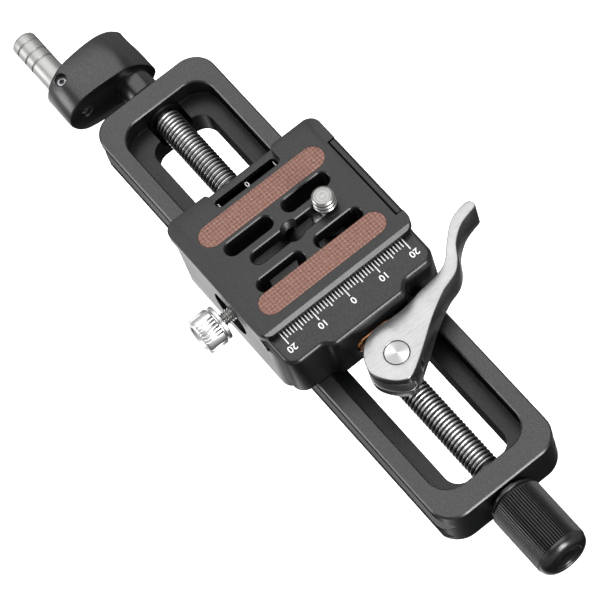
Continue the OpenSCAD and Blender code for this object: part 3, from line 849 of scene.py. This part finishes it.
def thumbscrew():
    cx, cz = -6.1, 17.0

    def wave(t, a, r):
        """Four smooth lands with six fine grooves between each pair."""
        if r < 5.0:
            return r
        f = (t * 4 / (2 * math.pi) + 0.803) % 1.0
        d = min(abs(f - c) for c in (0.20, 0.32, 0.44, 0.56, 0.68, 0.80))
        return r - 0.34 * max(0.0, 1 - d / 0.034)

    head = lathe(
        "t",
        [(-28.7, 4.2), (-28.75, 5.15), (-28.95, 5.38), (-33.7, 5.38), (-34.0, 5.2), (-34.35, 4.98), (-34.55, 4.7), (-34.58, 4.3), (-34.3, 3.9), (-33.6, 3.5), (-33.5, 0.05)],
        "y", (cx, cz), n=432, wave=wave,
    )
    flange = lathe("t", [(-27.15, 3.2), (-27.15, 4.95), (-27.3, 5.13), (-28.1, 5.13), (-28.28, 4.95), (-28.28, 4.3), (-28.75, 4.3), (-28.75, 3.0)], "y", (cx, cz), n=96)
    stem = thread("t", -27.3, -20.75, 1.98, 1.55, 0.7, "y", (cx, cz), n=32, end=0.3)
    o = join("t", head, flange, stem)
    place(o, "lock_thumbscrew_skin", "lock_screw", THUMB, "handle_silver", ["lock_thumbscrew"], angle=40)


thumbscrew()

# ------------------------------------------------------------------ clamp jaw


def jaw():
    b = DOVE + 16.05
    lobe, nose, h = 24.3, 26.6, 23.9
    plan = [
        (b - 3, -h), (lobe, -h), (lobe, -13.2), (nose, -11.4), (nose, 11.4), (lobe, 13.2), (lobe, h), (b - 3, h),
    ]
    radii = [0, 3.6, 2.9, 2.6, 2.6, 2.9, 3.6, 0]
    outline = fillet(plan, radii, 10)
    o = prism("t", outline, 14.4, 31.0, c0=0.3, c1=1.25, steps=4)
    side = [
        (b, 31.0), (b, 30.1), (DOVE + 19.2, 26.95), (DOVE + 19.2, 24.8), (16.9, 24.8), (16.9, 14.0), (40, 14.0), (40, 31.0),
    ]
    boolean(o, prism("t", side, -30, 30, place=ALONG_Y), "INTERSECT")
    cut(o, lathe("t", [(10, 2.9), (40, 2.9)], "x", (0, 21.0)))
    for y in (-16, 16):
        cut(o, lathe("t", [(15.6, 2.0), (lobe - 1.5, 2.0)], "x", (y, 19.6)))
    cut(o, prism("t", rrect(-6.04, 21 - 2.94, 6.04, 21 + 2.94, 2.6, 8), nose - 1.2, nose + 2, place=ALONG_X))
    place(o, "movable_jaw_skin", "jaw", BLACK_JAW, "clamp_black", ["movable_jaw"])
    pad = prism("t", rrect(-6.0, 21 - 2.9, 6.0, 21 + 2.9, 2.6, 10), nose - 1.2, nose + 0.6, c1=0.4, steps=3, holes=[circle(0, 21.0, 2.9, 40)], place=ALONG_X)
    place(pad, "cam_pad_skin", "jaw", COPPER, "copper", ["cam_pad"])
    bits = []
    for i in range(-20, 21):
        x1 = 18.35 if i % 10 == 0 else 17.45 if i % 5 == 0 else 16.75
        bits.append(box("t", 13.4, i - 0.15, 30.97, x1, i + 0.15, 31.012))
    for i in (-20, -10, 0, 10, 20):
        bits.append(digit_mesh(str(abs(i)), 2.75, 19.85, i, 31.0))
    place(join("t", *bits), "jaw_scale_marks", "jaw", PAINT, "clamp_black")


jaw()


def springs():
    def coil(y):
        verts, faces, n, m = [], [], 200, 10
        for i in range(n + 1):
            a = 2 * math.pi * 5 * i / n
            x = 11.1 + 5.0 * i / n
            cy, cz = y + 2.8 * math.cos(a), 19.6 + 2.8 * math.sin(a)
            for k in range(m):
                b = 2 * math.pi * k / m
                r = 2.8 + 0.42 * math.cos(b)
                verts.append((x + 0.42 * math.sin(b), y + r * math.cos(a), 19.6 + r * math.sin(a)))
        for i in range(n):
            for k in range(m):
                q = (k + 1) % m
                faces.append((i * m + k, i * m + q, (i + 1) * m + q, (i + 1) * m + k))
        faces.append(tuple(range(m)))
        faces.append(tuple(n * m + k for k in range(m)))
        return make("t", verts, faces)
    place(join("t", coil(-16), coil(16)), "jaw_springs_coils", "carriage", STEEL, "stainless", ["jaw_springs"])


springs()

# ------------------------------------------------------------------ lever

LEVER_PTS = [
    (15.1, 41), (17.2, 41.5), (18, 38.8), (19.3, 35), (22.4, 31), (26.6, 28.2), (29.2, 25.2), (31, 20), (35, 13),
    (39.6, 6.6), (44.2, -0.6), (43.6, -4), (40.4, -7), (36.6, -8.5), (32.4, -7.5), (29, -4.6), (27.5, -0.6), (27.8, 4),
    (27.9, 9), (26.9, 15), (26.2, 21), (24.6, 25.2), (20.4, 29.3), (16.4, 33.8), (14.9, 38.2),
]


def lever():
    o = prism("t", smooth(LEVER_PTS, 4), 16.0, 26.0, holes=[circle(PIN, 0, 3.38, 64)], c0=0.35, c1=0.35, steps=2)
    cut(o, lathe("t", [(18.85, 6.2), (23.15, 6.2)], "z", (PIN, 0)))
    cut(o, box("t", 20, -12, 18.85, PIN, 3.4, 23.15), box("t", PIN - 1, -12, 18.85, 50, -0.4, 23.15))
    place(o, "clamp_lever_skin", "lever", LEVER, "lever_brushed", ["clamp_lever"])
    p = prism("t", circle(PIN, 0, 3.33, 64), 16.2, 25.93, c0=0.2, c1=0.22, steps=2)
    place(p, "lever_pin_skin", "lever", PIN_FACE, "stainless", ["lever_pin"])


lever()

# ------------------------------------------------------------------ plate


def yslot(x, y0, y1, w, z0, z1, n=14):
    return prism("t", rrect(x - w / 2, y0, x + w / 2, y1, w / 2, n), z0, z1)


def plate():
    P0, P1, Z0, Z1 = -29.3, 14.8, 31.2, 34.2
    r = 3.4
    out = fillet(
        [
            (P1, -25), (P1, 25), (P0, 25), (P0, 10.4), (-23.55, 10.4), (-23.55, -10.4), (P0, -10.4), (P0, -25),
        ],
        [r, r, r, 1.1, 1.5, 1.5, 1.1, r], 10,
    )
    o = prism("t", out, Z0, Z1, c0=0.15, c1=0.2, steps=2)
    dove = [(DOVE - 19, 24.8), (DOVE + 19, 24.8), (DOVE + 19, 26.8), (DOVE + 15.8, 30), (DOVE + 15.8, 31.3), (DOVE - 15.8, 31.3), (DOVE - 15.8, 30), (DOVE - 19, 26.8)]
    fuse(o, prism("t", dove, -24.5, 24.5, c0=0.3, c1=0.3, place=ALONG_Y))
    cut(o, prism("t", rrect(-40, -10.4, -23.55, 10.4, 1.5, 10), 20, 31.25))
    # bright bevel along the front edge
    cut(o, prism("t", [(P1 - 1.06, Z1 + 0.02), (P1 + 0.5, Z1 + 0.02), (P1 + 0.5, Z1 - 1.06 - 0.5)], -30, 30, place=ALONG_Y))
    # slots, each with a fine rim
    for x, y0, y1 in ((-11.9, -16.8, -2), (-11.9, 2, 16.8), (2.2, -16.8, -2), (2.2, 2, 16.8), (MID, -13.2, 13.2)):
        cut(o, yslot(x, y0, y1, 4.3, 20, 40))
        cut(o, prism("t", rrect(x - 2.5, y0 - 0.35, x + 2.5, y1 + 0.35, 2.5, 14), Z1 - 0.35, Z1 + 1, c0=0.35))
    rings = [(20.0, 3.3)]
    for i in range(5):
        rings += [(30.6 + 0.72 * i, 3.0), (30.6 + 0.72 * i + 0.36, 3.35)]
    cut(o, lathe("t", rings + [(34.0, 3.35), (40.0, 3.35)], "z", (MID, 0), n=56))
    cut(o, yslot(MID, -17, 17, 10.6, 20, 30))
    for x in (-18.65, 7.6):
        cut(o, yslot(x, -20.2, 20.2, 6.9, Z1 - 0.5, Z1 + 1))
    cut(o, box("t", -19.7, 22.6, 20, 9.7, 30, 40))
    cut(o, lathe("t", [(-21.7, 0.52), (11.7, 0.52)], "x", (23.95, 33)))
    place(o, "plate_body_skin", "plate", BLACK_TOP, "plate_black", ["plate_body"])


plate()


def strip(x, name, node):
    w, y0, y1, z0, z1 = 6.8, -20.15, 20.15, 33.7, 34.36
    step = 0.15
    nx, ny = int(w / step) + 1, int((y1 - y0) / step) + 1
    r = w / 2
    verts, faces = [], []
    top, low = {}, {}
    for i in range(nx + 1):
        for j in range(ny + 1):
            u = -r + w * i / nx
            v = y0 + (y1 - y0) * j / ny
            # squeeze the grid's ends into the rounded outline
            cy = y1 - r if v > 0 else y0 + r
            if abs(v) > abs(cy):
                f = (abs(v) - abs(cy)) / r
                reach = r * math.sqrt(max(0.0, 1 - (u / r) ** 2))
                v = cy + math.copysign(f * reach, v)
            a, b = (x + u + v) / WEAVE, (x + u - v) / WEAVE
            ia, ib = math.floor(a), math.floor(b)
            fa, fb = a - ia, b - ib
            if (ia + ib) % 2:
                h = math.sqrt(max(0.0, 1 - (2 * fb - 1) ** 2)) * (0.55 + 0.45 * math.sin(math.pi * fa))
            else:
                h = math.sqrt(max(0.0, 1 - (2 * fa - 1) ** 2)) * (0.55 + 0.45 * math.sin(math.pi * fb))
            rim = min(1.0, min(nx - i, i, ny - j, j) / 2.0)
            top[i, j] = len(verts)
            verts.append((x + u, v, z1 - 0.10 + 0.10 * h * rim - 0.05 * (1 - rim)))
            low[i, j] = len(verts)
            verts.append((x + u, v, z0))
    for i in range(nx):
        for j in range(ny):
            faces.append((top[i, j], top[i + 1, j], top[i + 1, j + 1], top[i, j + 1]))
            faces.append((low[i, j], low[i, j + 1], low[i + 1, j + 1], low[i + 1, j]))
    for i in range(nx):
        for j in (0, ny):
            faces.append((top[i, j], top[i + 1, j], low[i + 1, j], low[i, j]))
    for j in range(ny):
        for i in (0, nx):
            faces.append((top[i, j], top[i, j + 1], low[i, j + 1], low[i, j]))
    place(make("t", verts, faces, 1e-5), name, "plate", WOVEN, "friction_strip", [node], angle=70)


strip(-18.65, "rear_friction_strip_weave", "rear_friction_strip")
strip(7.6, "front_friction_strip_weave", "front_friction_strip")


def camera_screw():
    y = 11.0
    o = lathe(
        "t",
        [
            (25.3, 2.3), (25.3, 4.6), (25.6, 4.8), (28.9, 4.8), (29.2, 4.6), (29.2, 1.95), (34.3, 1.95), (34.8, 2.5), (34.95, 2.95),
            (35.25, 3.17), (35.75, 3.17), (36.0, 2.95), (36.15, 2.72), (36.4, 2.72), (36.55, 2.95), (36.8, 3.17), (37.3, 3.17),
            (37.55, 2.95), (37.7, 2.72), (37.95, 2.72), (38.1, 2.95), (38.35, 3.15), (38.7, 3.15), (39.0, 2.95), (39.25, 2.6),
            (39.4, 2.3), (39.42, 2.05), (39.3, 1.9), (39.3, 1.75), (39.4, 1.6), (39.4, 1.15), (39.3, 1.0), (39.3, 0.85), (39.38, 0.7), (39.38, 0.02),
        ],
        "z", (MID, y), n=64,
    )
    place(o, "camera_screw_skin", "camera_screw_turner", SILVER, "stainless", ["camera_screw"], angle=40)


camera_screw()


def flip_bar():
    a = prism("t", [(22.9, 25.6), (23.1, 25.4), (24.8, 25.4), (25.0, 25.6), (25.0, 33.4), (24.6, 33.85), (24.1, 34.05), (23.6, 34.05), (23.1, 33.85), (22.9, 33.4)], -19.4, 9.4, c0=0.2, c1=0.2, place=ALONG_X)
    cut(a, lathe("t", [(-21, 0.52), (11, 0.52)], "x", (23.95, 33)))
    place(a, "anti_twist_bar_skin", "flip_bar", BLACK_TOP, "plate_black", ["anti_twist_bar"])


flip_bar()

# ------------------------------------------------------------------ the frame's own parts that stay as they are

KEPT = {
    "rear_bushing": BLACK, "front_bushing": BLACK, "knob_screw": STEEL_DARK, "drive_nut": BRONZE, "nut_screws": STEEL_DARK,
    "lock_shoe": BRONZE, "jaw_guide_pins": STEEL, "tension_rod": STEEL, "rod_nut": STEEL_DARK, "screw_washer": STEEL,
    "bar_hinge_pins": STEEL_DARK,
}
for node, material in KEPT.items():
    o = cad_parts[node]
    o.data.materials.clear()
    o.data.materials.append(material)
for node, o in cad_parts.items():
    if not o.hide_render and node not in KEPT:
        o.data.materials.clear()
        o.data.materials.append(BLACK)

# ------------------------------------------------------------------ stage, light and camera


def floor():
    me = bpy.data.meshes.new("floor")
    s, z = 8.0, -0.32
    me.from_pydata([(-s, -s, z), (s, -s, z), (s, s, z), (-s, s, z)], [], [(0, 1, 2, 3)])
    o = link(bpy.data.objects.new("floor", me))
    g = Graph("pale_floor")
    n = g.noise(3.0, 2.0)
    g.set(
        Base_Color=g.ramp(n, [(0.3, (0.90, 0.90, 0.90)), (0.7, (0.93, 0.93, 0.93))]), Roughness=0.9, Specular_IOR_Level=0.0,
        Emission_Color=(1.0, 1.0, 1.0, 1.0), Emission_Strength=0.3,
    )
    me.materials.append(g.m)
    o.visible_glossy = False


floor()


def area(name, loc, size, power, target=(0, 0, 0.01), colour=(1, 1, 1), size_y=None):
    d = bpy.data.lights.new(name, "AREA")
    d.energy, d.color, d.size = power, colour, size
    if size_y:
        d.shape, d.size_y = "RECTANGLE", size_y
    o = link(bpy.data.objects.new(name, d))
    o.location = loc
    o.rotation_mode = "QUATERNION"
    o.rotation_quaternion = (Vector(target) - Vector(loc)).to_track_quat("-Z", "Y")
    return o


area("overhead", (-0.55, 0.15, 1.6), 2.4, 44)
area("front_panel", (1.6, 0.27, 0.8), 0.7, 46, size_y=1.3)
area("left_panel", (-0.7, -1.4, 0.35), 0.8, 13)


def studio():
    """Soft white sky, brighter toward the horizon; below, dark with one white card on the rear side."""
    w = bpy.data.worlds.new("studio")
    w.use_nodes = True
    t = w.node_tree
    bg = t.nodes["Background"]
    co = t.nodes.new("ShaderNodeTexCoord")
    sep = t.nodes.new("ShaderNodeSeparateXYZ")
    t.links.new(co.outputs["Generated"], sep.inputs[0])
    card = t.nodes.new("ShaderNodeVectorMath")
    card.operation = "DOT_PRODUCT"
    t.links.new(co.outputs["Generated"], card.inputs[0])
    card.inputs[1].default_value = Vector((-0.453, -0.25, -0.86)).normalized()

    def span(v, a, b, lo, hi):
        n = t.nodes.new("ShaderNodeMapRange")
        n.interpolation_type = "SMOOTHSTEP"
        t.links.new(v, n.inputs[0])
        for i, q in enumerate((a, b, lo, hi)):
            n.inputs[i + 1].default_value = q
        return n.outputs[0]

    low = t.nodes.new("ShaderNodeMath")
    low.operation = "ADD"
    t.links.new(span(card.outputs["Value"], 0.70, 0.95, 0.02, 1.75), low.inputs[0])
    t.links.new(span(sep.outputs[2], -0.74, -0.30, 0.0, 0.42), low.inputs[1])
    up = span(sep.outputs[2], -0.12, 0.10, 0.0, 1.0)
    mix = t.nodes.new("ShaderNodeMix")
    mix.data_type = "FLOAT"
    t.links.new(up, mix.inputs[0])
    t.links.new(low.outputs[0], mix.inputs[2])
    t.links.new(span(sep.outputs[2], 0.20, 0.72, 0.75, 0.24), mix.inputs[3])
    bg.inputs[0].default_value = (1.0, 1.0, 1.0, 1.0)
    t.links.new(mix.outputs[0], bg.inputs[1])
    bpy.context.scene.world = w


studio()

cam_data = bpy.data.cameras.new("camera")
cam_data.sensor_width = 36.0
cam_data.lens = 204.81
cam_data.clip_start, cam_data.clip_end = 0.01, 50.0
cam = link(bpy.data.objects.new("camera", cam_data))
az, el, roll = (math.radians(v) for v in (71.84, 61.53, -21.81))
back = Vector((math.sin(az) * math.cos(el), -math.cos(az) * math.cos(el), math.sin(el)))
right = Vector((math.cos(az), math.sin(az), 0.0))
up = back.cross(right)
c, s = math.cos(roll), math.sin(roll)
down = -up
r2 = right * c - down * s
d2 = right * s + down * c
rot = Matrix((r2, -d2, back)).transposed()
cam.matrix_world = Matrix.Translation((0.4147, -0.1421, 0.8117)) @ rot.to_4x4()
bpy.context.scene.camera = cam
bpy.context.scene.view_settings.view_transform = "Standard"
